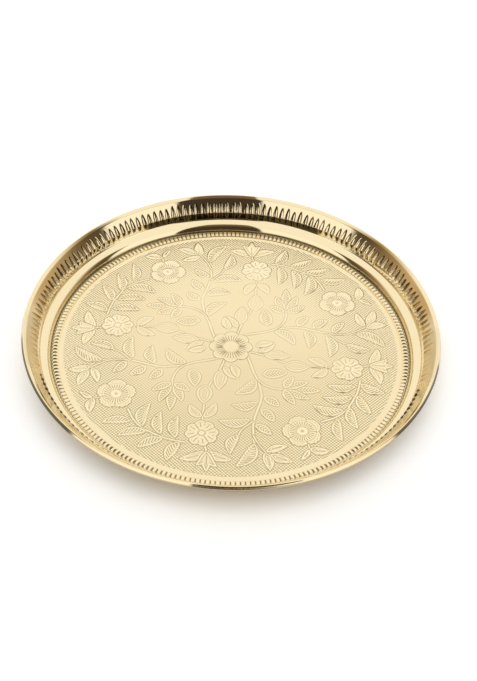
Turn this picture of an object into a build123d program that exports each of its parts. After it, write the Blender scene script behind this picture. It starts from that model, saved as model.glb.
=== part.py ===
from build123d import *
from math import acos, asin, atan2, cos, degrees, gcd, hypot, pi, radians, sin, tan
import os

# Rim, in millimetres
plate_diameter = 304.8      # over the rolled edge
plate_height = 25.0         # table to the top of the rolled edge
sheet = 1.0                 # brass sheet, the same all over
wire_diameter = 2.3         # wire inside the rolled edge
wire_clearance = 0.05       # round the wire, inside the roll
wire_end_gap = 0.6          # between the wire's two butted ends
curl_gap = 0.4              # between the sheet's edge and the lip it curls back to

# Wall, from the rim inwards and down
lip_width = 9.0             # wall top to the roll's centre, across
lip_drop = 8.4              # wall top to the roll's centre, down
wall_run = 1.0              # steep wall, across
ledge_width = 6.0           # smooth ledge, across
ledge_rise = 2.5
step_run = 1.8              # step at the edge of the floor, across
step_rise = 4.5
lip_bend = 8.0              # bend radii on the face that holds the food
cove_bend = 3.0
step_top_bend = 2.6
step_foot_bend = 0.5

# Flutes struck across the bend between wall and lip
flute_count = 180
flute_land = 0.75           # plain strip between two flutes
flute_depth = 0.5

# Rings round the floor
bead_count = 240
bead_length = 4.1           # across the ring
bead_height = 0.9
bead_gap = 1.15
bead_gap_sink = 0.1         # each gap, below the floor
ring_space = 0.5            # flat strip between bead ring, border and step
border_width = 3.7
border_height = 0.5
sector_limit = 12           # sectors that the repeating forms are made in

rim_radius = plate_diameter / 2
roll_radius = wire_diameter / 2 + wire_clearance + sheet
roll_r = rim_radius - roll_radius
roll_z = plate_height - roll_radius

# Corners of the upper face, before their bends: radius and height
lip_corner = (roll_r - lip_width, roll_z - lip_drop)
ledge_corner = (lip_corner[0] - wall_run, sheet + step_rise + ledge_rise)
step_corner = (ledge_corner[0] - ledge_width, sheet + step_rise)
foot_corner = (step_corner[0] - step_run, sheet)

# The lip runs straight onto the roll, and the roll turns back until its edge nears the lip
lip_slope = atan2(lip_drop, lip_width) + asin(roll_radius / hypot(lip_width, lip_drop))
curl_from = 90 + degrees(lip_slope)
curl_turn = 360 - degrees(acos((roll_radius - sheet) / roll_radius) + curl_gap / roll_radius)


def on_roll(radius, angle):
    return (roll_r + radius * cos(radians(angle)), roll_z + radius * sin(radians(angle)))


def slope(a, b):
    return atan2(b[1] - a[1], b[0] - a[0])


def one_sheet_under(a, b, c):
    # corner b of the lower face, between the runs a to b and b to c of the upper one
    mean = (slope(a, b) + slope(b, c)) / 2
    reach = sheet / cos((slope(b, c) - slope(a, b)) / 2)
    return (b[0] + reach * sin(mean), b[1] - reach * cos(mean))


def rounded(points, bends):
    line = Polyline(*points)
    for point, bend in zip(points[1:-1], bends):
        line = line.fillet_2d(bend, [line.vertices().sort_by_distance(Vector(*point))[0]])
    return line


roll_inside = roll_radius - sheet
upper_points = [(0, sheet), foot_corner, step_corner, ledge_corner, lip_corner, on_roll(roll_radius, curl_from)]
upper_bends = [step_foot_bend, step_top_bend, cove_bend, lip_bend]
lower_points = [(0, 0)]
for near, corner, far in zip(upper_points, upper_points[1:], upper_points[2:]):
    lower_points.append(one_sheet_under(near, corner, far))
lower_points.append(on_roll(roll_inside, curl_from))
lower_bends = [step_foot_bend + sheet, step_top_bend - sheet, cove_bend + sheet, lip_bend - sheet]

# Bead ring and plain border ring, low round-topped mouldings between the floor and the step
bead_r = foot_corner[0] - ring_space - bead_length / 2
border_r = bead_r - bead_length / 2 - ring_space - border_width / 2


def moulding(middle, width, height):
    return ThreePointArc((middle - width / 2, sheet), (middle, sheet + height), (middle + width / 2, sheet))


border = moulding(border_r, border_width, border_height)
bead = moulding(bead_r, bead_length, bead_height)
upper_points[0] = bead @ 1
outline = Wire([
    Line((0, sheet), border @ 0),
    border,
    Line(border @ 1, bead @ 0),
    bead,
    *rounded(upper_points, upper_bends).edges(),
    CenterArc((roll_r, roll_z), roll_radius, curl_from, -curl_turn),
    Line(on_roll(roll_radius, curl_from - curl_turn), on_roll(roll_inside, curl_from - curl_turn)),
    CenterArc((roll_r, roll_z), roll_inside, curl_from, -curl_turn),
    *rounded(lower_points, lower_bends).edges(),
    Line((0, 0), (0, sheet)),
])

# The beads and flutes repeat, so one sector is made and set round the axis. Its ends lie between two beads
# and two flutes.
sectors = gcd(bead_count, flute_count, sector_limit)
sector_angle = 360 / sectors
sector = revolve(Plane.XZ * Face(outline), Axis.Z, sector_angle)

# Gaps that part the beads
gap_cutter = Location((bead_r, 0, sheet - bead_gap_sink + bead_gap / 2), (0, 90, 0)) * Cylinder(
    bead_gap / 2, bead_length + ring_space / 2
)
gap_cutters = []
for k in range(bead_count // sectors):
    gap_cutters.append(Rot(Z=(k + 0.5) * 360 / bead_count) * gap_cutter)
sector = sector.cut(*gap_cutters)

# Flutes: scoops that run out on the lip and on the wall, cut in three sets so that no two cutters cross
wall_slope = slope(ledge_corner, lip_corner)
half_turn = (wall_slope - lip_slope) / 2
bend_slope = (wall_slope + lip_slope) / 2
bend_back = lip_bend / cos(half_turn) - lip_bend
flute_width = 2 * pi * lip_corner[0] / flute_count - flute_land
scoop = (flute_width ** 2 / 4 + flute_depth ** 2) / (2 * flute_depth)
scoop_length = 2 * (flute_depth / tan(half_turn) + lip_bend * tan(half_turn))
scoop_off = scoop - flute_depth - bend_back
scoop_centre = (lip_corner[0] - scoop_off * sin(bend_slope), 0, lip_corner[1] + scoop_off * cos(bend_slope))
flute_cutter = Location(scoop_centre, (0, 90 - degrees(bend_slope), 0)) * Cylinder(scoop, scoop_length)
flutes = flute_count // sectors
for start in range(min(3, flutes)):
    cutters = []
    for k in range(start, flutes, 3):
        cutters.append(Rot(Z=(k + 0.5) * 360 / flute_count) * flute_cutter)
    sector = sector.cut(*cutters)
others = []
for k in range(1, sectors):
    others.append(Rot(Z=k * sector_angle) * sector)
plate_sheet = sector.fuse(*others) if others else sector

# Wire inside the roll, butted end to end
wire_end = degrees(wire_end_gap / roll_r)
wire_section = Plane.XZ * Pos(roll_r, roll_z) * Circle(wire_diameter / 2)
rim_wire = revolve(wire_section, Axis.Z, 360 - wire_end)

os.makedirs("parts", exist_ok=True)
for name, solid in (("plate_sheet", plate_sheet), ("rim_wire", rim_wire)):
    export_step(solid, "parts/" + name + ".step")
    print(name, "volume", round(solid.volume), "solids", len(solid.solids()), solid.is_valid)
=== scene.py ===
import math

import bpy
import numpy as np
from mathutils import Matrix, Vector


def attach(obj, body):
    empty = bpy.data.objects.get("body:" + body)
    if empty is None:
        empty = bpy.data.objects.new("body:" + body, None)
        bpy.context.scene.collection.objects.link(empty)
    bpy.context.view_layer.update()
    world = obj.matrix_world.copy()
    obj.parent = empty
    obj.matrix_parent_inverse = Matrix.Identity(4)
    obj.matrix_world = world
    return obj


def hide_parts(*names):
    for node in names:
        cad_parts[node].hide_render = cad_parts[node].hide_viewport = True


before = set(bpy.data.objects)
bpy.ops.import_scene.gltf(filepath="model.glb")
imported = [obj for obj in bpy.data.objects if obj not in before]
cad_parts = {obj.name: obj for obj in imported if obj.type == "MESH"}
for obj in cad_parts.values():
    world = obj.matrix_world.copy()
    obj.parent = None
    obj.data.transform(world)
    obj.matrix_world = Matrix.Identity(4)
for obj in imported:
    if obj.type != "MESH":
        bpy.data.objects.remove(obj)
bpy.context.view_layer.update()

mm = 0.001
fullTurn = 2 * math.pi
rng = np.random.default_rng(31)
print("stage: frame loaded")


# camera, fitted on the rim and the bead ring of the photo, in its frame of 477 by 681 pixels
photoCamera = {
    "width": 477,
    "height": 681,
    "focal": 1266.4,
    "middle": (230.9, 347.7),
    "distance": 0.9406,
    "elevation": math.radians(45.1),
    "roll": math.radians(2.35),
    "sensor": 36.0,
    "clipStart": 0.01,
}


def addCamera(shot):
    e = shot["elevation"]
    a = shot["roll"]
    right = Vector((1, 0, 0))
    up = Vector((0, math.sin(e), math.cos(e)))
    back = Vector((0, -math.cos(e), math.sin(e)))
    right, up = right * math.cos(a) + up * math.sin(a), up * math.cos(a) - right * math.sin(a)
    data = bpy.data.cameras.new("photoCamera")
    data.sensor_fit = "HORIZONTAL"
    data.sensor_width = shot["sensor"]
    data.lens = shot["focal"] / shot["width"] * shot["sensor"]
    data.shift_x = (shot["width"] / 2 - shot["middle"][0]) / shot["width"]
    data.shift_y = (shot["middle"][1] - shot["height"] / 2) / shot["width"]
    data.clip_start = shot["clipStart"]
    camera = bpy.data.objects.new("photoCamera", data)
    turn = Matrix((right, up, back)).transposed().to_4x4()
    camera.matrix_world = Matrix.Translation(back * shot["distance"]) @ turn
    bpy.context.scene.collection.objects.link(camera)
    bpy.context.scene.camera = camera


addCamera(photoCamera)
print("stage: camera")


# node helpers: a value is a number or colour to set, or another node's output to link
def feed(tree, socket, value):
    if isinstance(value, (int, float, tuple)):
        socket.default_value = value
    else:
        tree.links.new(value, socket)


def link(tree, fromNode, fromSocket, toNode, toSocket):
    tree.links.new(fromNode.outputs[fromSocket], toNode.inputs[toSocket])


def addNode(tree, kind, **values):
    node = tree.nodes.new(kind)
    for key, value in values.items():
        setattr(node, key, value)
    return node


def mathNode(tree, operation, first, second=None):
    node = addNode(tree, "ShaderNodeMath", operation=operation)
    feed(tree, node.inputs[0], first)
    if second is not None:
        feed(tree, node.inputs[1], second)
    return node.outputs[0]


def softStep(tree, value, low, high):
    node = addNode(tree, "ShaderNodeMapRange", interpolation_type="SMOOTHSTEP")
    feed(tree, node.inputs["From Min"], low)
    feed(tree, node.inputs["From Max"], high)
    feed(tree, node.inputs["Value"], value)
    return node.outputs["Result"]


def mixColor(tree, factor, first, second):
    node = addNode(tree, "ShaderNodeMix", data_type="RGBA")
    feed(tree, node.inputs["Factor"], factor)
    feed(tree, node.inputs["A"], first)
    feed(tree, node.inputs["B"], second)
    return node.outputs["Result"]


# studio: white sweep behind, soft top, a panel on each side of a dark slot for the camera, warm dark sides;
# turns are in radians from the front, heights are the z of a direction
studio = {
    "floorHalf": 20.0,
    "floorColor": (0.92, 0.92, 0.915, 1),
    "floorLift": 0.36,
    "paintedShadowFrom": 0.131,
    "paintedShadowTo": 0.161,
    "white": (1, 1, 1, 1),
    "panelColor": (1.08, 1.08, 1.08, 1),
    "panelMiddle": math.radians(4),
    "panelHalf": math.radians(73),
    "panelSoft": 0.04,
    "sideColor": (0.52, 0.38, 0.21, 1),
    "sideDark": (0.10, 0.075, 0.045, 1),
    "sideFrom": 0.1,
    "sideTo": math.radians(42),
    "sweepFrom": math.radians(108),
    "sweepBefore": 0.24,
    "sweepAfter": 0.20,
    "sweepLow": (0.42, 0.15),
    "sweepLowShift": math.radians(24),
    "topHeights": (0.70, 0.80),
    "slotColor": (0.055, 0.042, 0.032, 1),
    "slotTopColor": (0.18, 0.122, 0.075, 1),
    "slotMiddle": math.radians(10),
    "slotHalf": math.radians(25),
    "slotSoft": 0.02,
    "slotFade": (0.72, 0.84),
    "slotEnd": (0.985, 0.955),
}


def makeWorld(kit):
    world = bpy.data.worlds.new("studioTent")
    bpy.context.scene.world = world
    world.use_nodes = True
    tree = world.node_tree
    tree.nodes.clear()
    place = addNode(tree, "ShaderNodeTexCoord")
    parts = addNode(tree, "ShaderNodeSeparateXYZ")
    link(tree, place, "Generated", parts, "Vector")
    x, y, z = parts.outputs
    turn = mathNode(tree, "ARCTAN2", x, mathNode(tree, "MULTIPLY", y, -1.0))
    wide = mathNode(tree, "ABSOLUTE", turn)
    fromPanel = mathNode(tree, "ABSOLUTE", mathNode(tree, "SUBTRACT", turn, kit["panelMiddle"]))
    fromSlot = mathNode(tree, "ABSOLUTE", mathNode(tree, "SUBTRACT", turn, kit["slotMiddle"]))

    end = kit["panelHalf"]
    sideLight = softStep(tree, fromPanel, end + kit["sideFrom"], end + kit["sideTo"])
    side = mixColor(tree, sideLight, kit["sideDark"], kit["sideColor"])
    pastPanel = softStep(tree, fromPanel, end - kit["panelSoft"], end + kit["panelSoft"])
    around = mixColor(tree, pastPanel, kit["panelColor"], side)

    lower = mathNode(tree, "MULTIPLY", softStep(tree, z, *kit["sweepLow"]), kit["sweepLowShift"])
    reached = mathNode(tree, "SUBTRACT", wide, lower)
    sweepStart = kit["sweepFrom"] - kit["sweepBefore"]
    behind = softStep(tree, reached, sweepStart, kit["sweepFrom"] + kit["sweepAfter"])
    around = mixColor(tree, behind, around, kit["white"])
    around = mixColor(tree, softStep(tree, z, *kit["topHeights"]), around, kit["white"])

    slotShade = mixColor(tree, softStep(tree, z, *kit["slotFade"]), kit["slotColor"], kit["slotTopColor"])
    slot = softStep(tree, fromSlot, kit["slotHalf"] + kit["slotSoft"], kit["slotHalf"] - kit["slotSoft"])
    slot = mathNode(tree, "MULTIPLY", slot, softStep(tree, z, *kit["slotEnd"]))
    around = mixColor(tree, slot, around, slotShade)
    shade = addNode(tree, "ShaderNodeBackground")
    tree.links.new(around, shade.inputs["Color"])
    out = addNode(tree, "ShaderNodeOutputWorld")
    link(tree, shade, "Background", out, "Surface")


# the paper is lifted to white where it is seen; the lift fades out towards the plate, a painted shadow round
# it
def makeFloor(kit):
    half = kit["floorHalf"]
    mesh = bpy.data.meshes.new("studioFloor")
    corners = [(-half, -half, 0), (half, -half, 0), (half, half, 0), (-half, half, 0)]
    mesh.from_pydata(corners, [], [(0, 1, 2, 3)])
    floor = bpy.data.objects.new("studioFloor", mesh)
    bpy.context.scene.collection.objects.link(floor)
    material = bpy.data.materials.new("studioFloor")
    material.use_nodes = True
    tree = material.node_tree
    tree.nodes.clear()
    paper = addNode(tree, "ShaderNodeBsdfDiffuse")
    paper.inputs["Color"].default_value = kit["floorColor"]
    glow = addNode(tree, "ShaderNodeEmission")
    rays = addNode(tree, "ShaderNodeLightPath")
    seen = mathNode(tree, "MAXIMUM", rays.outputs["Is Camera Ray"], rays.outputs["Is Glossy Ray"])
    seen = mathNode(tree, "MAXIMUM", seen, rays.outputs["Is Transmission Ray"])
    place = addNode(tree, "ShaderNodeTexCoord")
    away = addNode(tree, "ShaderNodeVectorMath", operation="LENGTH")
    link(tree, place, "Object", away, "Vector")
    # painted shadow: the lift is off near the plate and full farther out
    clear = softStep(tree, away.outputs["Value"], kit["paintedShadowFrom"], kit["paintedShadowTo"])
    seen = mathNode(tree, "MULTIPLY", seen, clear)
    tree.links.new(mathNode(tree, "MULTIPLY", seen, kit["floorLift"]), glow.inputs["Strength"])
    both = addNode(tree, "ShaderNodeAddShader")
    tree.links.new(paper.outputs[0], both.inputs[0])
    tree.links.new(glow.outputs[0], both.inputs[1])
    out = addNode(tree, "ShaderNodeOutputMaterial")
    link(tree, both, "Shader", out, "Surface")
    mesh.materials.append(material)


makeWorld(studio)
makeFloor(studio)
bpy.context.scene.view_settings.view_transform = "Standard"
print("stage: studio")


# plate outline in millimetres, on the solid's corners; the rim is pressed a little flat on its roll
plate = {
    "sheet": 1.0,
    "foot": (132.4, 1.0),
    "step": (134.2, 5.5),
    "ledge": (140.2, 8.0),
    "lip": (141.2, 14.4),
    "rimFoot": (148.6, 23.1),
    "rimTop": (150.95, 24.98),
    "rimSide": -16.0,
    "roll": (150.2, 22.8),
    "rollRadius": 2.2,
    "rollInside": 1.2,
    "rollFrom": 143.3,
    "rollTurn": 292.0,
    "rollSteps": 14,
    "footBend": 0.5,
    "stepBend": 6.5,
    "coveBend": 1.6,
    "lipBend": 2.5,
    "rimFootBend": 3.0,
    "rimTopBend": 0.7,
    "beadRing": 129.85,
    "beadLength": 4.1,
    "beadHeight": 0.9,
    "beadHalf": 0.40,
    "beadSink": 0.1,
    "beads": 240,
    "borderRing": 125.45,
    "borderWidth": 3.7,
    "borderHeight": 0.5,
    "underCorner": (126.0, 0.0),
    "underReach": 125.0,
    "underRings": 60,
    "underSegments": 720,
    "segments": 1440,
    "halvedBelow": (62.0, 31.0, 5.2),
    "wallSegments": 2880,
    "ringStep": 0.55,
    "borderStep": 0.42,
    "upperStep": 0.45,
    "upperTurnStep": 9,
    "lowerStep": 0.9,
    "lowerTurnStep": 14,
}


def aim(a, b):
    return Vector((b[0] - a[0], b[1] - a[1])).normalized()


def between(a, b, step):
    count = max(1, int(round(math.hypot(b[0] - a[0], b[1] - a[1]) / step)))
    return [(a[0] + (b[0] - a[0]) * i / count, a[1] + (b[1] - a[1]) * i / count) for i in range(count + 1)]


def roundedLine(points, bends, step, turnStep):
    line = [points[0]]
    for a, b, c, bend in zip(points, points[1:], points[2:], bends):
        inWay = aim(a, b)
        outWay = aim(b, c)
        turn = math.atan2(inWay.x * outWay.y - inWay.y * outWay.x, inWay.dot(outWay))
        reach = bend * math.tan(abs(turn) / 2)
        start = Vector(b) - inWay * reach
        line += between(line[-1], tuple(start), step)[1:]
        side = 1 if turn > 0 else -1
        centre = start + Vector((-inWay.y, inWay.x)) * bend * side
        count = max(2, int(math.ceil(abs(math.degrees(turn)) / turnStep)))
        spoke = start - centre
        for i in range(1, count + 1):
            t = turn * i / count
            line.append((
                centre.x + spoke.x * math.cos(t) - spoke.y * math.sin(t),
                centre.y + spoke.x * math.sin(t) + spoke.y * math.cos(t),
            ))
    line += between(line[-1], points[-1], step)[1:]
    return line


def onRoll(radius, angle):
    t = math.radians(angle)
    return (plate["roll"][0] + radius * math.cos(t), plate["roll"][1] + radius * math.sin(t))


def oneSheetUnder(a, b, c):
    first = math.atan2(b[1] - a[1], b[0] - a[0])
    second = math.atan2(c[1] - b[1], c[0] - b[0])
    reach = plate["sheet"] / math.cos((second - first) / 2)
    mean = (first + second) / 2
    return (b[0] + reach * math.sin(mean), b[1] - reach * math.cos(mean))


upperCorners = [
    (plate["beadRing"] + plate["beadLength"] / 2, plate["sheet"]),
    plate["foot"],
    plate["step"],
    plate["ledge"],
    plate["lip"],
    plate["rimFoot"],
    plate["rimTop"],
    onRoll(plate["rollRadius"], plate["rimSide"]),
]
lowerCorners = [plate["underCorner"]]
for a, b, c in zip(upperCorners[:4], upperCorners[1:5], upperCorners[2:6]):
    lowerCorners.append(oneSheetUnder(a, b, c))
lowerCorners.append(onRoll(plate["rollInside"], plate["rollFrom"]))
upperBends = [plate[name + "Bend"] for name in ("foot", "step", "cove", "lip", "rimFoot", "rimTop")]
lowerBends = [bend + plate["sheet"] * way for bend, way in zip(upperBends, (1, -1, 1, -1))]
wallUpper = roundedLine(upperCorners, upperBends, plate["upperStep"], plate["upperTurnStep"])
wallLower = roundedLine(lowerCorners, lowerBends, plate["lowerStep"], plate["lowerTurnStep"])
rollEnd = plate["rollFrom"] - plate["rollTurn"]
rollOut = []
rollIn = []
for i in range(1, plate["rollSteps"] + 1):
    outAngle = plate["rimSide"] + (rollEnd - plate["rimSide"]) * i / plate["rollSteps"]
    inAngle = plate["rollFrom"] - plate["rollTurn"] * i / plate["rollSteps"]
    rollOut.append(onRoll(plate["rollRadius"], outAngle))
    rollIn.append(onRoll(plate["rollInside"], inAngle))
rollIn.reverse()


# flutes struck by hand across the edge between wall and lip, each with its own place, depth and ends;
# front and back are in degrees round the plate
flutes = {
    "count": 180,
    "width": 0.37,
    "jitter": 0.09,
    "depth": 0.8,
    "frontDepth": 2.0,
    "depthDraw": (0.5, 1.3),
    "low": 2.2,
    "lowBack": 5.4,
    "lowDraw": (-0.9, 0.9),
    "high": 8.6,
    "highFront": 5.0,
    "highDraw": (-1.4, 0.5),
    "streakShadeDraw": (0.35, 1.0),
    "front": (200, 340),
    "back": (38, 152),
    "farthest": 9,
    "taper": 0.8,
}


def drawEach(low, high):
    return rng.uniform(low, high, flutes["count"])


def fluteIn(span):
    turn = (np.arange(flutes["count"]) + 0.5) * 360 / flutes["count"]
    return (turn > span[0]) & (turn < span[1])


atFront = fluteIn(flutes["front"])
fluteShift = drawEach(-flutes["jitter"], flutes["jitter"])
fluteDepth = flutes["depth"] * drawEach(*flutes["depthDraw"]) * np.where(atFront, flutes["frontDepth"], 1.0)
fluteLow = np.where(fluteIn(flutes["back"]), flutes["lowBack"], flutes["low"])
fluteLow = fluteLow + drawEach(*flutes["lowDraw"])
fluteHigh = np.where(atFront, flutes["highFront"], flutes["high"])
fluteHigh = fluteHigh + drawEach(*flutes["highDraw"])
fluteStreakShade = drawEach(*flutes["streakShadeDraw"])
edgeAim = (aim(plate["ledge"], plate["lip"]) + aim(plate["lip"], plate["rimFoot"])).normalized()


def ramp(value, low, high):
    t = np.clip((value - low) / (high - low), 0, 1)
    return t * t * (3 - 2 * t)


def hump(distance, width):
    return np.exp(-((distance / width) ** 2))


def wave(angle):
    return 0.5 + 0.5 * np.cos(angle)


def fluteAt(angle):
    place = angle / fullTurn * flutes["count"]
    return place, np.floor(place).astype(int) % flutes["count"]


def fluteSink(angle, along):
    if abs(along) > flutes["farthest"]:
        return np.zeros_like(angle), np.zeros_like(angle)
    place, which = fluteAt(angle)
    off = (place - np.floor(place) - 0.5 - fluteShift[which]) / flutes["width"]
    reach = fluteHigh[which] if along > 0 else fluteLow[which]
    run = np.clip(1 - abs(along) / reach, 0, 1)
    hollow = np.clip(run ** flutes["taper"] - off ** 2, 0, 1)
    return fluteDepth[which] * hollow, hollow


# painted shade and painted reflection on the wall, each lowering the wear value: a dark line along the struck
# edge, dark flute feet and streaks, a dark band on the wall's far side, the lip darker at the front, a dark
# line at the step's foot, dark spots and a darker lower side on the rim roll and a dark crease at the rim's
# foot; a lighter band below the struck edge is painted sheen. First come the amounts, then the places round
# the plate (from, to, fade, in degrees), then those across
# the wall: lengths from the struck edge, heights, or shares of a flute's depth
paintedShade = {
    "plain": 0.55,
    "edge": 0.42,
    "edgeElsewhere": 0.35,
    "wall": 0.42,
    "flute": 0.34,
    "fluteElsewhere": 0.15,
    "streak": 0.34,
    "lip": 0.15,
    "step": 0.36,
    "rim": 0.36,
    "lowRim": 0.22,
    "crease": 0.14,
    "polishedSheen": 0.40,
    "frontRound": ((203, 248, 5), (292, 337, 5)),
    "streakRound": ((8, 36, 5), (147, 171, 5)),
    "rimRound": ((190, 225, 5), (320, 346, 5)),
    "fluteRound": (22, 162, 16),
    "farRound": (63, 119, 5),
    "teethRound": (46, 150, 8),
    "edgeMiddle": -0.1,
    "edgeSpan": 0.9,
    "edgeLand": 0.30,
    "edgeHollow": (0.3, 0.9),
    "lineFoot": (-1.6, -0.6),
    "lineOnLand": (3.0, 1.8),
    "lineInHollow": (1.4, 0.9),
    "below": (-0.1, -0.9),
    "belowReach": 3.0,
    "inside": (0.05, 0.5),
    "wallHeight": (8.0, 9.2),
    "flankStart": (0.02, 0.12),
    "flankEnd": (0.62, 0.32),
    "flankFoot": (-0.6, 0.4),
    "streakHollow": (0.04, 0.2),
    "streakFoot": (0.2, 1.0),
    "lipFoot": (0.0, 1.0),
    "lipEnd": (148.4, 147.6),
    "stepHeight": 1.7,
    "stepSpan": 1.2,
    "rimTurn": (66.0, 48.0),
    "lowRimTurn": (20.0, 0.0),
    "creaseSpan": 0.5,
    "sheenHeight": (7.6, 8.6),
}


def sector(angle, start, end, fade):
    start, end, fade = math.radians(start), math.radians(end), math.radians(fade)
    return ramp(angle, start - fade, start) * ramp(angle, end + fade, end)


def sectors(angle, spans):
    return sum(sector(angle, *span) for span in spans)


# painted shade: a dark line along the struck edge all round, and a dark zigzag under the flute ends in the
# front sectors
def edgePaintedShade(frontShadeSectors, along, hollow):
    deep = paintedShade["edgeLand"] + (1 - paintedShade["edgeLand"]) * ramp(hollow, *paintedShade["edgeHollow"])
    edgeLine = float(hump(along - paintedShade["edgeMiddle"], paintedShade["edgeSpan"])) * deep
    high, low = (land + sunk * hollow for land, sunk in zip(paintedShade["lineOnLand"], paintedShade["lineInHollow"]))
    zigZag = float(ramp(along, *paintedShade["lineFoot"])) * ramp(along, high, low)
    return edgeLine, paintedShade["edge"] * np.maximum(paintedShade["edgeElsewhere"] * edgeLine, frontShadeSectors * zigZag)


# painted shade: the flute flanks darker near their feet, most on the far side, and dark streaks in the flutes
# at both sides; each flute draws its own streak strength
def flutePaintedShade(angle, along, hollow):
    flank = ramp(hollow, *paintedShade["flankStart"]) * ramp(hollow, *paintedShade["flankEnd"])
    flank = flank * float(ramp(along, *paintedShade["flankFoot"]))
    shadeBySide = sector(angle, *paintedShade["fluteRound"])
    feet = paintedShade["flute"] * flank * (paintedShade["fluteElsewhere"] + (1 - paintedShade["fluteElsewhere"]) * shadeBySide)
    streak = ramp(hollow, *paintedShade["streakHollow"]) * float(ramp(along, *paintedShade["streakFoot"]))
    streak = streak * fluteStreakShade[fluteAt(angle)[1]] * sectors(angle, paintedShade["streakRound"])
    return np.maximum(feet, paintedShade["streak"] * streak)


# painted reflection: dark spots on the roll's outer side in two front sectors; painted shade: the roll's
# outer lower side darker all round
def rimPaintedShade(angle, r, z):
    aside = r - plate["roll"][0]
    if aside <= 0:
        return 0.0
    turn = math.degrees(math.atan2(z - plate["roll"][1], aside))
    spots = paintedShade["rim"] * float(ramp(turn, *paintedShade["rimTurn"])) * sectors(angle, paintedShade["rimRound"])
    return np.maximum(spots, paintedShade["lowRim"] * float(ramp(turn, *paintedShade["lowRimTurn"])))


def wallPaintedShade(angle, along, r, z, hollow):
    frontShadeSectors = sectors(angle, paintedShade["frontRound"])
    edgeLine, onEdge = edgePaintedShade(frontShadeSectors, along, hollow)
    nearWall = r > plate["ledge"][0] - paintedShade["belowReach"]
    below = float(ramp(along, *paintedShade["below"])) if nearWall else 0.0
    # painted reflection: a dark band on the wall's far side and in the flute hollows there
    far = sector(angle, *paintedShade["farRound"])
    teeth = sector(angle, *paintedShade["teethRound"]) * ramp(hollow, *paintedShade["inside"])
    wall = paintedShade["wall"] * below * np.maximum(far, teeth) * float(ramp(z, *paintedShade["wallHeight"]))
    # painted reflection: the lip darker in the front sectors
    onLip = paintedShade["lip"] * frontShadeSectors * float(ramp(along, *paintedShade["lipFoot"]))
    onLip = onLip * float(ramp(r, *paintedShade["lipEnd"]))
    # painted shade: a dark line at the step's foot
    onStep = float(hump(z - paintedShade["stepHeight"], paintedShade["stepSpan"])) if r < plate["step"][0] else 0.0
    # painted shade: a dark line along the crease at the rim's foot
    fromCrease = math.hypot(r - plate["rimFoot"][0], z - plate["rimFoot"][1])
    crease = paintedShade["crease"] * float(hump(fromCrease, paintedShade["creaseSpan"]))
    # painted sheen: a lighter band on the wall just below the struck edge, away from the dark band, the flute
    # hollows and the edge line
    polishedSheen = paintedShade["polishedSheen"] * below * float(ramp(z, *paintedShade["sheenHeight"]))
    polishedSheen = polishedSheen * (1 - far) * (1 - teeth) * (1 - edgeLine)
    deepest = np.maximum(onEdge, np.maximum(flutePaintedShade(angle, along, hollow), wall))
    return deepest + onLip + paintedShade["step"] * onStep + rimPaintedShade(angle, r, z) + crease - polishedSheen


# floor pattern, one quarter, in millimetres from the middle; the other three are turned copies
pattern = {
    "grow": 1.018,
    "rise": 0.55,
    "stipple": 2.44,
    "stippleRise": 0.03,
    "stippleOuter": 0.25,
    "stippleSpan": (45, 112),
    "stemWidth": 0.52,
    "leafBelly": 0.82,
    "leafBlunt": 0.72,
    "ridgeIn": 0.6,
    "ridgeSpan": 0.62,
    "leafBase": 0.42,
    "leafRidge": 0.60,
    "hatchedBase": 0.44,
    "hatchedRidge": 0.58,
    "hatchCut": 0.95,
    "hatchLift": 0.25,
    "sawPitch": 2.3,
    "sawTooth": 0.22,
    "sawLean": 0.9,
    "strokePitch": 2.1,
    "strokeLean": 0.8,
    "edge": 0.40,
    "moat": 0.10,
    "moatSpan": (-1.1, -0.45),
    "margin": 4,
    "calmEdge": (0.1, 0.7),
    "halfWay": 0.18,
    "halfWayFrom": (15, 30),
    "halfWayTo": (92, 66),
    # from here on the floor's wear value: patina and painted shade in recesses, rubbed wear and painted
    # highlight on tops, painted shade at the front
    "plainWear": 0.65,
    "lookAround": 0.8,
    "wearSpan": 0.5,
    "softer": 0.35,
    "softerFrom": (12, 34),
    "softerTo": (92, 60),
    "crisper": 0.5,
    "crisperFrom": (70, 100),
    "ground": 0.08,
    "top": 0.08,
    "topHeight": (0.30, 0.50),
    "fill": 1.8,
    "fillFrom": (66, 94),
    "innerTone": 0.6,
    "toneFrom": (55, 105),
    "frontShade": 0.17,
    "frontReach": 120,
}
# serrated leaves: from, to, width, bow to the left, smooth edge side (1 left, -1 right)
sawLeaves = [
    ((32.5, 93.5), (40.0, 110.0), 8.5, -1.6, -1),
    ((44.0, 91.0), (60.5, 99.5), 8.0, -1.6, -1),
    ((56.0, 85.0), (74.5, 89.5), 8.0, -2.0, -1),
    ((67.0, 76.0), (86.5, 78.5), 7.5, -2.0, -1),
    ((35.0, 89.0), (34.5, 69.5), 8.0, 2.4, 1),
    ((45.5, 86.5), (46.5, 66.0), 8.0, 2.6, 1),
    ((58.5, 80.0), (54.5, 59.0), 9.0, 3.0, 1),
    ((92.5, 18.8), (112.7, 6.5), 9.5, 2.8, 1),
    ((85.0, 7.0), (102.0, 2.5), 8.0, -2.2, -1),
    ((70.5, 15.0), (72.0, -6.5), 8.5, 3.0, 1),
    ((54.5, 19.5), (57.0, 2.0), 8.5, 2.6, 1),
    ((32.0, 18.5), (46.5, 4.5), 9.0, 2.8, 1),
]
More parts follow.
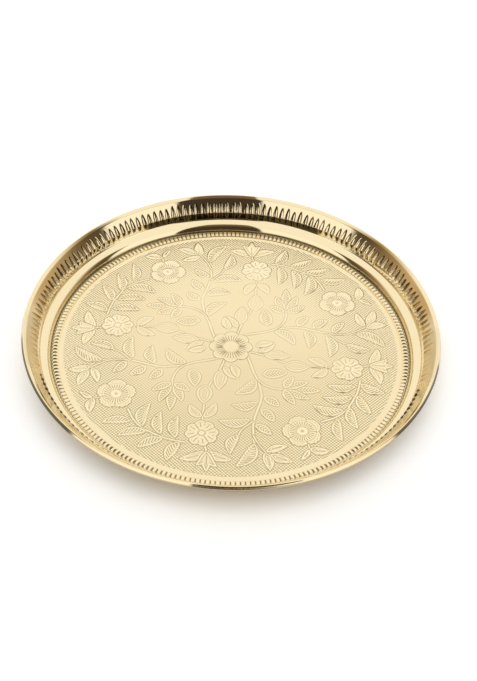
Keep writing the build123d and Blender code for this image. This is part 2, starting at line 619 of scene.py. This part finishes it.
# plain leaves with an incised eye: from, to, width, bow to the left
eyeLeaves = [
    ((11.8, 101.0), (-3.8, 107.0), 7.0, -1.6),
    ((15.2, 101.0), (31.5, 107.6), 7.0, 1.8),
    ((16.5, 69.5), (9.0, 56.0), 7.0, -1.4),
    ((18.5, 69.5), (27.2, 58.5), 7.0, 1.4),
    ((17.0, 39.5), (17.6, 56.8), 11.0, 0.0),
    ((5.8, 24.0), (7.6, 43.0), 9.5, 0.0),
    ((4.5, 20.5), (-6.5, 32.0), 6.0, -1.2),
    ((100.0, 25.8), (115.0, 29.5), 7.0, 1.0),
    ((101.0, 30.0), (106.5, 44.5), 7.0, -0.8),
    ((98.5, 27.0), (93.0, 41.0), 6.0, 0.8),
    ((95.5, 55.8), (104.8, 50.4), 4.0, 0.6),
    ((94.6, 56.5), (95.6, 69.8), 6.6, -1.2),
    ((18.5, 1.5), (31.0, 5.5), 6.4, 0.8),
]
# leaves with cross strokes: from, to, width, bow to the left
strokeLeaves = [
    ((49.0, 25.0), (56.8, 35.2), 7.2, 0.8),
    ((60.5, 23.0), (71.2, 31.8), 7.6, 0.8),
    ((75.0, 19.0), (83.4, 30.2), 6.6, 0.8),
    ((40.2, 44.0), (40.4, 64.5), 7.0, 0.0),
    ((39.2, 41.5), (32.6, 56.0), 6.6, 0.8),
    ((41.2, 41.5), (48.6, 57.0), 6.6, -0.8),
    ((41.0, 38.8), (54.4, 46.4), 6.6, -0.6),
    ((39.0, 39.4), (28.0, 45.4), 6.6, 0.6),
    ((27.0, 23.8), (24.2, 41.0), 9.4, 0.6),
]
# stems: width, then the points they run through
stems = [
    (2.6, [(8, 12), (16, 14.5), (25, 17), (31, 19.5), (38, 21.5), (47, 23), (53, 22.5), (60, 20.5),
           (68, 18.5), (76, 17.3), (84, 17.8), (93, 18.8)]),
    (2.4, [(29, 93), (36, 91.8), (43, 90), (49, 87), (57.5, 82.8), (62.4, 78), (66, 73), (69.6, 65)]),
    (2.2, [(33, 20.5), (37, 25), (39.5, 30), (40.6, 36), (40.2, 42)]),
    (2.0, [(85, 17.9), (90, 20), (95, 23.2), (100.5, 27)]),
    (1.8, [(72, 17.2), (78, 11), (82, 8.6), (87, 7)]),
    (2.2, [(17.5, 73), (17.4, 66), (17.2, 58), (17, 48), (13, 36), (8, 26), (5.5, 18), (4, 12)]),
    (1.8, [(89, 55.2), (92, 55.6), (96, 56.4)]),
    (2.2, [(15, 95), (14, 99), (13.6, 103)]),
]
# flowers: box is half of the square that each is drawn in, start is where its first petal points, in degrees
roseFlower = {
    "middle": (79.0, 51.2),
    "box": 19,
    "reach": 13.6,
    "petals": 5,
    "start": 55,
    "notch": 0.20,
    "frill": 0.022,
    "frills": 25,
    "hatches": 28,
}
heartFlower = {
    "middle": (17.6, 84.3),
    "box": 16,
    "petals": 4,
    "start": 77,
    "core": 4.6,
    "lobe": 4.0,
    "lobeAway": 7.4,
    "lobeTurn": 21,
}
tulip = {
    "middle": (13.2, 109.4),
    "box": 15,
    "base": (13.6, 100.8),
    "tips": [(6.2, 113.4), (20.2, 112.8), (13.2, 118.0)],
    "bows": (-2.2, 2.2, 0.0),
    "width": 6.4,
    "slit": 13.3,
}
middleFlower = {
    "middle": (0, 0),
    "box": 20,
    "reach": 15.4,
    "petals": 8,
    "notch": 0.16,
    "hatches": 32,
    "top": 0.5,
}


def leafPlace(x, y, start, tip, width, bow):
    away = np.array(tip) - np.array(start)
    length = math.hypot(*away)
    way = away / length
    along = ((x - start[0]) * way[0] + (y - start[1]) * way[1]) / length
    across = -(x - start[0]) * way[1] + (y - start[1]) * way[0]
    inside = np.clip(along, 0, 1)
    across = across - bow * 4 * inside * (1 - inside)
    half = width / 2 * np.sin(math.pi * inside ** pattern["leafBelly"]) ** pattern["leafBlunt"]
    past = np.maximum(along - 1, -along).clip(0) * length
    return along, across, half, past, length


def outlineRidge(edge):
    return hump(edge - pattern["ridgeIn"], pattern["ridgeSpan"])


def hatched(edge):
    return pattern["hatchedBase"] + pattern["hatchedRidge"] * outlineRidge(edge)


def hatchCut(lie, strokes):
    return lie * (pattern["hatchCut"] * strokes - pattern["hatchLift"])


def sawLeaf(x, y, start, tip, width, bow, smooth):
    along, across, half, past, length = leafPlace(x, y, start, tip, width, bow)
    side = across * smooth
    pitch = pattern["sawPitch"]
    teeth = (along * length / pitch) % 1.0
    out = half * np.where(side < 0, 1.0 - pattern["sawTooth"] * teeth, 1.0)
    edge = out - np.abs(side) - past
    strokes = wave(fullTurn * (along * length + pattern["sawLean"] * side) / pitch)
    lie = ramp(side, -0.35 * half, -0.05 * half) * ramp(side, 0.72 * half, 0.5 * half)
    lie = lie * ramp(along, 0.06, 0.2) * ramp(along, 0.97, 0.85)
    height = pattern["leafBase"] + pattern["leafRidge"] * outlineRidge(edge)
    height = height + 0.2 * hump(half - side - 0.75, 0.55) - hatchCut(lie, strokes)
    height = height + 0.10 * ramp(side, -0.2 * half, -0.6 * half)
    return edge, height * pattern["rise"]


def eyeLeaf(x, y, start, tip, width, bow):
    along, across, half, past, length = leafPlace(x, y, start, tip, width, bow)
    edge = half - np.abs(across) - past
    inner = 0.42 * half * ramp(along, 0.14, 0.32) * ramp(along, 0.88, 0.68)
    lie = ramp(along, 0.12, 0.22) * ramp(along, 0.90, 0.80)
    height = pattern["leafBase"] + pattern["leafRidge"] * outlineRidge(edge)
    height = height + 0.45 * lie * hump(np.abs(across) - inner, 0.42)
    return edge, height * pattern["rise"]


def strokeLeaf(x, y, start, tip, width, bow):
    along, across, half, past, length = leafPlace(x, y, start, tip, width, bow)
    edge = half - np.abs(across) - past
    lean = pattern["strokeLean"] * np.abs(across)
    strokes = wave(fullTurn * (along * length - lean) / pattern["strokePitch"])
    lie = ramp(np.abs(across), 0.72 * half, 0.45 * half) * ramp(along, 0.08, 0.2) * ramp(along, 0.94, 0.82)
    return edge, (hatched(edge) - hatchCut(lie, strokes)) * pattern["rise"]


def stemRun(x, y, width, points):
    way = np.array(points, float)
    nearest = np.full(x.shape, 1e9)
    for a, b in zip(way, way[1:]):
        run = b - a
        t = np.clip(((x - a[0]) * run[0] + (y - a[1]) * run[1]) / (run @ run), 0, 1)
        nearest = np.minimum(nearest, np.hypot(x - a[0] - t * run[0], y - a[1] - t * run[1]))
    edge = width / 2 - nearest
    height = 0.35 + 0.6 * np.sqrt(np.clip(1 - (nearest / (width / 2 + 0.4)) ** 2, 0, 1))
    return edge, height * pattern["rise"]


def flowerPlace(x, y, flower):
    px = x - flower["middle"][0]
    py = y - flower["middle"][1]
    out = np.hypot(px, py)
    turn = np.arctan2(py, px)
    petal = (turn - math.radians(flower.get("start", 0))) * flower["petals"] / fullTurn
    return px, py, out, turn, np.abs(petal - np.round(petal))


def roseShape(x, y):
    px, py, out, turn, off = flowerPlace(x, y, roseFlower)
    frill = roseFlower["frill"] * np.cos(roseFlower["frills"] * turn)
    edge = roseFlower["reach"] * (1.0 - roseFlower["notch"] * (2 * off) ** 2.4 + frill) - out
    hatch = wave(roseFlower["hatches"] * turn)
    height = 0.70 + 0.44 * hump(edge - 0.6, 0.5)
    height = height - 0.70 * hump((0.5 - off) * out * 1.25, 0.7) * ramp(out, 7.5, 10)
    height = height - 0.35 * hump(out - 9.6, 0.7)
    height = height - (0.10 + 0.80 * hatch) * ramp(out, 3.2, 4.2) * ramp(out, 9.2, 8.2)
    height = height + 0.30 * hump(out - 2.3, 0.6) - 0.5 * hump(out, 0.9)
    return edge, height * pattern["rise"]


def heartShape(x, y):
    px, py, out, turn, off = flowerPlace(x, y, heartFlower)
    edge = heartFlower["core"] - out
    height = np.full(x.shape, 0.72)
    for k in range(heartFlower["petals"]):
        for lobe in (-1, 1):
            t = heartFlower["start"] + 360 / heartFlower["petals"] * k + heartFlower["lobeTurn"] * lobe
            t = math.radians(t)
            lx = heartFlower["lobeAway"] * math.cos(t)
            ly = heartFlower["lobeAway"] * math.sin(t)
            edge = np.maximum(edge, heartFlower["lobe"] - np.hypot(px - lx, py - ly))
            far = px * math.cos(t) + py * math.sin(t)
            aside = -px * math.sin(t) + py * math.cos(t)
            slit = hump(aside, 0.5) * ramp(far, 5.0, 6.0) * ramp(far, 10.0, 8.6)
            height = height - 0.6 * slit
    height = height - 0.8 * hump((0.5 - off) * out * 1.57, 0.6) * ramp(out, 2.6, 4.0)
    height = height - 0.5 * hump(off * out * 1.57, 0.45) * ramp(out, 6.5, 8.5)
    height = height + 0.38 * hump(edge - 0.5, 0.42) - 0.5 * hump(out - 2.4, 0.5) + 0.25 * hump(out, 1.2)
    return edge, height * pattern["rise"]


def tulipShape(x, y):
    edge = np.full(x.shape, -9.0)
    height = np.full(x.shape, 0.9)
    for tip, bow in zip(tulip["tips"], tulip["bows"]):
        along, across, half, past, length = leafPlace(x, y, tulip["base"], tip, tulip["width"], bow)
        one = half - np.abs(across) - past
        height = np.where(one > edge, hatched(one), height)
        edge = np.maximum(edge, one)
    slit = hump(x - tulip["slit"], 0.5) * ramp(y, 103.5, 105) * ramp(y, 113, 111)
    return edge, (height - 0.6 * slit) * pattern["rise"]


def middleShape(x, y):
    px, py, out, turn, off = flowerPlace(x, y, middleFlower)
    edge = middleFlower["reach"] * (1 - middleFlower["notch"] * (2 * off) ** 2) - out
    hatch = wave(middleFlower["hatches"] * turn)
    height = 0.72 + 0.42 * hump(edge - 0.5, 0.45)
    height = height - 0.55 * hump((0.5 - off) * out * 0.785, 0.5) * ramp(out, 11.5, 12.5)
    height = height - 0.4 * hump(out - 11.7, 0.55)
    height = height - (0.05 + 0.80 * hatch) * ramp(out, 5.4, 6.2) * ramp(out, 11.6, 10.8)
    height = height - 0.35 * hump(out - 5.3, 0.5) + 0.1 * hump(out, 3.5)
    return edge, height * pattern["rise"]


def placeMotif(height, solid, x, y, shape, values, middlePoint, reach):
    for turn in (0, 90, 180, 270):
        t = math.radians(turn)
        cx = middlePoint[0] * math.cos(t) - middlePoint[1] * math.sin(t)
        cy = middlePoint[0] * math.sin(t) + middlePoint[1] * math.cos(t)
        near = np.nonzero((np.abs(x - cx) < reach) & (np.abs(y - cy) < reach))[0]
        if near.size == 0:
            continue
        px = x[near] * math.cos(t) + y[near] * math.sin(t)
        py = -x[near] * math.sin(t) + y[near] * math.cos(t)
        edge, rise = shape(px, py, *values)
        moat = ramp(edge, *pattern["moatSpan"])
        cover = ramp(edge, -pattern["edge"], pattern["edge"])
        height[near] = height[near] * (1 - moat) - pattern["moat"] * moat
        height[near] = height[near] * (1 - cover) + rise * cover
        solid[near] = np.maximum(solid[near], cover)


# the photo's relief is worn down half way out
def worn(out):
    return 1 - pattern["halfWay"] * ramp(out, *pattern["halfWayFrom"]) * ramp(out, *pattern["halfWayTo"])


def floorRelief(x, y):
    x = x / pattern["grow"]
    y = y / pattern["grow"]
    k = fullTurn / pattern["stipple"]
    outer = ramp(np.hypot(x, y), *pattern["stippleSpan"])
    height = (pattern["stippleRise"] + pattern["stippleOuter"] * outer) * np.cos(k * x) * np.cos(k * y)
    solid = np.zeros_like(height)
    for width, points in stems:
        width = width * pattern["stemWidth"]
        ends = np.array(points, float)
        centre = (ends.min(0) + ends.max(0)) / 2
        reach = (ends.max(0) - ends.min(0)).max() / 2 + pattern["margin"]
        placeMotif(height, solid, x, y, stemRun, (width, points), centre, reach)
    for shape, leaves in ((strokeLeaf, strokeLeaves), (eyeLeaf, eyeLeaves), (sawLeaf, sawLeaves)):
        for leaf in leaves:
            ends = np.array(leaf[:2])
            centre = ends.mean(0)
            reach = np.abs(ends[1] - ends[0]).max() / 2 + leaf[2]
            placeMotif(height, solid, x, y, shape, leaf, centre, reach)
    flowers = (
        (tulipShape, tulip),
        (heartShape, heartFlower),
        (roseShape, roseFlower),
        (middleShape, middleFlower),
    )
    for shape, flower in flowers:
        placeMotif(height, solid, x, y, shape, (), flower["middle"], flower["box"])
    return height * worn(np.hypot(x, y)), solid


# rings: each is its points and their wear value, where 0 is darkest and 1 brightest: the dark end is patina
# in the floor's recesses and painted shade, the bright end rubbed wear and painted highlight
def roundRing(r, t, z, wearShades):
    return np.stack([r * np.cos(t), r * np.sin(t), z], 1), wearShades


def ringSegments(r):
    count = plate["segments"]
    for limit in plate["halvedBelow"]:
        if r < limit:
            count //= 2
    return count


# the floor's value: recesses darker, partly patina and partly painted shade; raised tops lighter, partly
# rubbed wear and partly painted highlight; the ground between motifs darker
def floorWearShade(x, y, height, solid, calm):
    step = pattern["lookAround"]
    around = np.zeros_like(height)
    for dx, dy in ((step, 0), (-step, 0), (0, step), (0, -step)):
        around = around + floorRelief(x + dx, y + dy)[0] / 4
    out = np.hypot(x, y)
    softer = pattern["softer"] * ramp(out, *pattern["softerFrom"]) * ramp(out, *pattern["softerTo"])
    crisper = pattern["crisper"] * ramp(out, *pattern["crisperFrom"])
    span = pattern["wearSpan"] * (1 + softer - crisper)
    wearShade = pattern["plainWear"] + (height - around) * calm / span
    ridge = solid * ramp(height / worn(out), *pattern["topHeight"])
    fill = pattern["fill"] * ramp(out, *pattern["fillFrom"]) - 1
    tone = pattern["top"] * (2 * ridge + fill * solid) - pattern["ground"] * (1 - solid)
    outer = ramp(out, *pattern["toneFrom"])
    return wearShade + calm * tone * (pattern["innerTone"] + (1 - pattern["innerTone"]) * outer)


def floorRings():
    inner = plate["borderRing"] - plate["borderWidth"] / 2
    count = int(round(inner / plate["ringStep"]))
    radii = [inner * i / count for i in range(1, count + 1)]
    xs = []
    ys = []
    for r in radii:
        n = ringSegments(r) // 4
        t = np.arange(n) * (math.pi / 2 / n)
        xs.append(r * np.cos(t))
        ys.append(r * np.sin(t))
    x = np.concatenate(xs)
    y = np.concatenate(ys)
    height, solid = floorRelief(x, y)
    calm = ramp(np.hypot(x, y), *(inner - edge for edge in pattern["calmEdge"]))
    wearShade = floorWearShade(x, y, height, solid, calm)
    height = height * calm
    rings = []
    start = 0
    for r, part in zip(radii, xs):
        n = part.size
        heights = np.tile(height[start:start + n], 4)
        t = np.arange(4 * n) * (fullTurn / (4 * n))
        # painted shade: the floor darker towards the front and lighter towards the back, more so farther out
        shadeBySide = pattern["frontShade"] * r / pattern["frontReach"] * np.sin(t)
        wearShades = np.tile(wearShade[start:start + n], 4) + shadeBySide
        rings.append(roundRing(r, t, plate["sheet"] + heights, wearShades))
        start += n
    return rings


# painted shade and painted highlight of the border and the bead ring: the grooves and the bead gaps darker,
# the bead tops lighter; the grooves are in half widths from each ring's middle
ringWearShade = {
    "gap": 0.25,
    "bead": 0.5,
    "border": 0.6,
    "groove": 0.22,
    "grooveSpan": 0.10,
    "beadGroove": 1.08,
    "borderGroove": 1.12,
    "beadBody": 0.2,
    "under": 0.5,
}


def borderRings():
    rings = []
    t = np.arange(plate["wallSegments"]) * (fullTurn / plate["wallSegments"])
    inner = plate["borderRing"] - plate["borderWidth"] / 2
    outer = plate["beadRing"] + plate["beadLength"] / 2
    count = int(round((outer - inner) / plate["borderStep"]))
    phase = (t * plate["beads"] / fullTurn) % 1.0 - 0.5
    for i in range(1, count + 1):
        r = inner + (outer - inner) * i / count
        across = (r - plate["borderRing"]) / (plate["borderWidth"] / 2)
        rise = plate["borderHeight"] * math.sqrt(max(0, 1 - across * across))
        along = (r - plate["beadRing"]) / (plate["beadLength"] / 2)
        body = max(0, 1 - along ** 4) ** 0.5
        bead = np.sqrt(np.clip(1 - (phase / plate["beadHalf"]) ** 2, 0, 1)) * body
        heights = rise + plate["beadHeight"] * bead - plate["beadSink"] * (body > 0)
        fromBead = abs(abs(along) - ringWearShade["beadGroove"])
        fromBorder = abs(abs(across) - ringWearShade["borderGroove"])
        # painted shade in the grooves and the bead gaps, painted highlight on the bead tops
        groove = float(hump(min(fromBead, fromBorder), ringWearShade["grooveSpan"]))
        onBead = ringWearShade["gap"] + ringWearShade["bead"] * bead
        wearShades = np.where(body > ringWearShade["beadBody"], onBead, ringWearShade["border"])
        wearShades = wearShades - ringWearShade["groove"] * groove
        rings.append(roundRing(r, t, plate["sheet"] + heights, wearShades))
    return rings


# under is how far below the upper face a line lies: the flutes sink both faces alike
def wallRings(line, segments, under):
    rings = []
    t = np.arange(segments) * (fullTurn / segments)
    normal = (edgeAim.y, -edgeAim.x)
    for r, z in line:
        away = (r - under * normal[0] - plate["lip"][0], z - under * normal[1] - plate["lip"][1])
        along = away[0] * edgeAim.x + away[1] * edgeAim.y
        sink, hollow = fluteSink(t, along)
        wearShades = paintedShade["plain"] - wallPaintedShade(t, along, r, z, hollow)
        rings.append(roundRing(r + sink * normal[0], t, z + sink * normal[1], wearShades))
    return rings


def underRings():
    rings = []
    for i in range(plate["underRings"], 0, -1):
        r = plate["underReach"] * i / plate["underRings"]
        n = min(plate["underSegments"], ringSegments(r))
        t = np.arange(n) * (fullTurn / n)
        rings.append(roundRing(r, t, np.zeros(n), np.full(n, ringWearShade["under"])))
    return rings


# faces between each ring and the next, which has as many points, twice as many or half
def sewRings(rings, firstPoint, lastPoint):
    points = [np.array([firstPoint])] + [ring[0] for ring in rings] + [np.array([lastPoint])]
    endWear = np.full(1, ringWearShade["under"])
    wearShades = [endWear] + [ring[1] for ring in rings] + [endWear]
    starts = np.cumsum([0] + [len(p) for p in points])
    quads = []
    tris = []
    for k in range(len(points) - 1):
        a, b = starts[k], starts[k + 1]
        n, m = len(points[k]), len(points[k + 1])
        if n == 1:
            i = np.arange(m)
            tris.append(np.stack([np.full(m, a), b + i, b + (i + 1) % m], 1))
        elif m == 1:
            i = np.arange(n)
            tris.append(np.stack([a + i, np.full(n, b), a + (i + 1) % n], 1))
        elif n == m:
            i = np.arange(n)
            j = (i + 1) % n
            quads.append(np.stack([a + i, b + i, b + j, a + j], 1))
        elif m == 2 * n:
            i = np.arange(n)
            j = (i + 1) % n
            tris.append(np.stack([a + i, b + 2 * i, b + 2 * i + 1], 1))
            tris.append(np.stack([a + i, b + 2 * i + 1, a + j], 1))
            tris.append(np.stack([a + j, b + 2 * i + 1, b + (2 * i + 2) % m], 1))
        else:
            i = np.arange(m)
            j = (i + 1) % m
            tris.append(np.stack([b + i, a + 2 * i + 1, a + 2 * i], 1))
            tris.append(np.stack([b + i, b + j, a + 2 * i + 1], 1))
            tris.append(np.stack([b + j, a + (2 * i + 2) % n, a + 2 * i + 1], 1))
    points = np.concatenate(points) * mm
    return points, np.concatenate(quads), np.concatenate(tris), np.concatenate(wearShades), starts


def makeMesh(name, points, quads, tris):
    mesh = bpy.data.meshes.new(name)
    mesh.vertices.add(len(points))
    mesh.vertices.foreach_set("co", points.astype(np.float32).ravel())
    loops = np.concatenate([quads.ravel(), tris.ravel()])
    mesh.loops.add(len(loops))
    mesh.loops.foreach_set("vertex_index", loops.astype(np.int32))
    begin = np.concatenate([np.arange(len(quads)) * 4, quads.size + np.arange(len(tris)) * 3])
    mesh.polygons.add(len(begin))
    mesh.polygons.foreach_set("loop_start", begin.astype(np.int32))
    mesh.update(calc_edges=True)
    mesh.validate()
    mesh.shade_smooth()
    return mesh


topFloor = floorRings()
topBorder = borderRings()
topWall = wallRings(wallUpper[1:] + rollOut, plate["wallSegments"], 0.0)
underWall = wallRings(rollIn + wallLower[::-1], plate["segments"], plate["sheet"])
topMiddle = plate["sheet"] + middleFlower["top"]
allRings = topFloor + topBorder + topWall + underWall + underRings()
points, quads, tris, wearShade, starts = sewRings(allRings, (0, 0, topMiddle), (0, 0, 0))
plateMesh = makeMesh("plateSheet", points, quads, tris)
wearShadeLayer = plateMesh.attributes.new("wearShade", "FLOAT", "POINT")
wearShadeLayer.data.foreach_set("value", np.clip(wearShade, 0, 1).astype(np.float32))
plateSheet = bpy.data.objects.new("plateSheet", plateMesh)
bpy.context.scene.collection.objects.link(plateSheet)
print("stage: plate sheet,", len(points), "points")


# brass: tone, and wear with painted shade and painted highlight, are shared groups, and each finish has its
# own amounts
brass = {
    "color": (0.96, 0.805, 0.51, 1),
    "deep": (0.90, 0.72, 0.40, 1),
    "cloudScale": 14.0,
    "cloudDetail": 4.0,
    "cloudSpan": (0.35, 0.7),
    "cloudRough": 0.10,
    "grainScale": 900.0,
    "grainDetail": 3.0,
    "grainRough": 0.08,
    "grainHeight": 0.0002,
    "darkest": 0.15,
    "rubbedSheen": (0.72, 0.95),
}
satin = {
    "gloss": 0.20,
    "drift": 0.25,
    "bump": 0.05,
    "hollow": 0.78,
    "clear": 0.72,
    # the dark colour is for patina and painted shade, the light one for rubbed wear and painted highlight
    "recess": (0.46, 0.37, 0.19, 1),
    "sheen": (1.0, 0.88, 0.61, 1),
    "haze": 0,
}
polishedSheen = {
    "gloss": 0.07,
    "drift": 0.25,
    "bump": 0.004,
    "hollow": 0.96,
    "clear": 0.52,
    # the near-black colour is for the painted shade and painted reflections on the wall, the rim and the bead
    # gaps; the light one for painted highlight
    "recess": (0.05, 0.038, 0.016, 1),
    "sheen": (1.0, 0.93, 0.76, 1),
    "haze": 0.24,
    "hazeFrom": math.radians(-17),
    "hazeTo": math.radians(0),
    "hazeFade": math.radians(5),
    "hazeHeight": (0.0125, 0.0145),
}
drawn = {
    "gloss": 0.3,
    "drift": 0.4,
    "bump": 0.1,
    "hollow": 0,
    "haze": 0,
}


def newGroup(name, inputs, outputs):
    group = bpy.data.node_groups.new(name, "ShaderNodeTree")
    for way, sockets in (("INPUT", inputs), ("OUTPUT", outputs)):
        for label, kind in sockets:
            group.interface.new_socket(label, in_out=way, socket_type="NodeSocket" + kind)
    return group, addNode(group, "NodeGroupInput").outputs, addNode(group, "NodeGroupOutput").inputs


def addNoise(tree, place, scale, detail):
    noise = addNode(tree, "ShaderNodeTexNoise")
    noise.inputs["Scale"].default_value = scale
    noise.inputs["Detail"].default_value = detail
    link(tree, place, "Object", noise, "Vector")
    return noise.outputs["Fac"]


def aboutZero(tree, value, amount):
    return mathNode(tree, "MULTIPLY", mathNode(tree, "SUBTRACT", value, 0.5), amount)


def makeToneGroup():
    inputs = (("Drift", "Float"), ("Gloss", "Float"))
    outputs = (("Color", "Color"), ("Roughness", "Float"), ("Height", "Float"))
    group, given, made = newGroup("brassTone", inputs, outputs)
    place = addNode(group, "ShaderNodeTexCoord")
    cloud = addNoise(group, place, brass["cloudScale"], brass["cloudDetail"])
    grain = addNoise(group, place, brass["grainScale"], brass["grainDetail"])
    amount = mathNode(group, "MULTIPLY", softStep(group, cloud, *brass["cloudSpan"]), given["Drift"])
    group.links.new(mixColor(group, amount, brass["color"], brass["deep"]), made["Color"])
    rough = mathNode(group, "ADD", given["Gloss"], aboutZero(group, cloud, brass["cloudRough"]))
    rough = mathNode(group, "ADD", rough, aboutZero(group, grain, brass["grainRough"]))
    group.links.new(rough, made["Roughness"])
    group.links.new(grain, made["Height"])
    return group


def makeWearShadeGroup():
    inputs = (
        ("Color", "Color"),
        ("Hollow", "Float"),
        ("Clear", "Float"),
        ("Recess", "Color"),
        ("Sheen", "Color"),
    )
    group, given, made = newGroup("brassWearShade", inputs, (("Color", "Color"),))
    wearShade = addNode(group, "ShaderNodeAttribute", attribute_name="wearShade").outputs["Fac"]
    # the dark colour where the value is low: patina, painted shade and painted reflection
    low = softStep(group, wearShade, given["Clear"], brass["darkest"])
    low = mathNode(group, "MULTIPLY", low, given["Hollow"])
    color = mixColor(group, low, given["Color"], given["Recess"])
    # the light colour where the value is high: rubbed wear and painted highlight
    color = mixColor(group, softStep(group, wearShade, *brass["rubbedSheen"]), color, given["Sheen"])
    group.links.new(color, made["Color"])
    return group


# the lip is less polished at both sides
def sideHaze(tree, kind):
    place = addNode(tree, "ShaderNodeTexCoord")
    parts = addNode(tree, "ShaderNodeSeparateXYZ")
    link(tree, place, "Object", parts, "Vector")
    x, y, z = parts.outputs
    turn = mathNode(tree, "ARCTAN2", y, mathNode(tree, "ABSOLUTE", x))
    begun = softStep(tree, turn, kind["hazeFrom"] - kind["hazeFade"], kind["hazeFrom"])
    notEnded = softStep(tree, turn, kind["hazeTo"] + kind["hazeFade"], kind["hazeTo"])
    mask = mathNode(tree, "MULTIPLY", begun, notEnded)
    mask = mathNode(tree, "MULTIPLY", mask, softStep(tree, z, *kind["hazeHeight"]))
    return mathNode(tree, "MULTIPLY", mask, kind["haze"])


toneGroup = makeToneGroup()
wearShadeGroup = makeWearShadeGroup()


def makeBrass(name, kind):
    material = bpy.data.materials.new(name)
    material.use_nodes = True
    tree = material.node_tree
    shader = tree.nodes["Principled BSDF"]
    shader.inputs["Metallic"].default_value = 1.0
    tone = addNode(tree, "ShaderNodeGroup", node_tree=toneGroup)
    tone.inputs["Drift"].default_value = kind["drift"]
    tone.inputs["Gloss"].default_value = kind["gloss"]
    color = tone.outputs["Color"]
    if kind["hollow"] > 0:
        wearShade = addNode(tree, "ShaderNodeGroup", node_tree=wearShadeGroup)
        for label in ("Hollow", "Clear", "Recess", "Sheen"):
            wearShade.inputs[label].default_value = kind[label.lower()]
        tree.links.new(color, wearShade.inputs["Color"])
        color = wearShade.outputs["Color"]
    tree.links.new(color, shader.inputs["Base Color"])
    roughness = tone.outputs["Roughness"]
    if kind["haze"] > 0:
        roughness = mathNode(tree, "ADD", roughness, sideHaze(tree, kind))
    tree.links.new(roughness, shader.inputs["Roughness"])
    bump = addNode(tree, "ShaderNodeBump")
    bump.inputs["Strength"].default_value = kind["bump"]
    bump.inputs["Distance"].default_value = brass["grainHeight"]
    link(tree, tone, "Height", bump, "Height")
    link(tree, bump, "Normal", shader, "Normal")
    return material


# the floor and the flat underside are satin, the rings, the wall and the rim polished
plateMesh.materials.append(makeBrass("satinBrass", satin))
plateMesh.materials.append(makeBrass("polishedBrass", polishedSheen))
cornerOne = np.concatenate([quads[:, 0], tris[:, 0]])
firstPolished = starts[1 + len(topFloor)]
firstUnder = starts[1 + len(topFloor) + len(topBorder) + len(topWall) + len(underWall)]
isPolished = (cornerOne >= firstPolished) & (cornerOne < firstUnder)
plateMesh.polygons.foreach_set("material_index", isPolished.astype(np.int32))
plateMesh.update()
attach(plateSheet, "root")
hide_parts("plate_sheet")

wireBrass = makeBrass("wireBrass", drawn)
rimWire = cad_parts["rim_wire"]
for slot in rimWire.material_slots:
    slot.material = wireBrass
print("stage: brass")
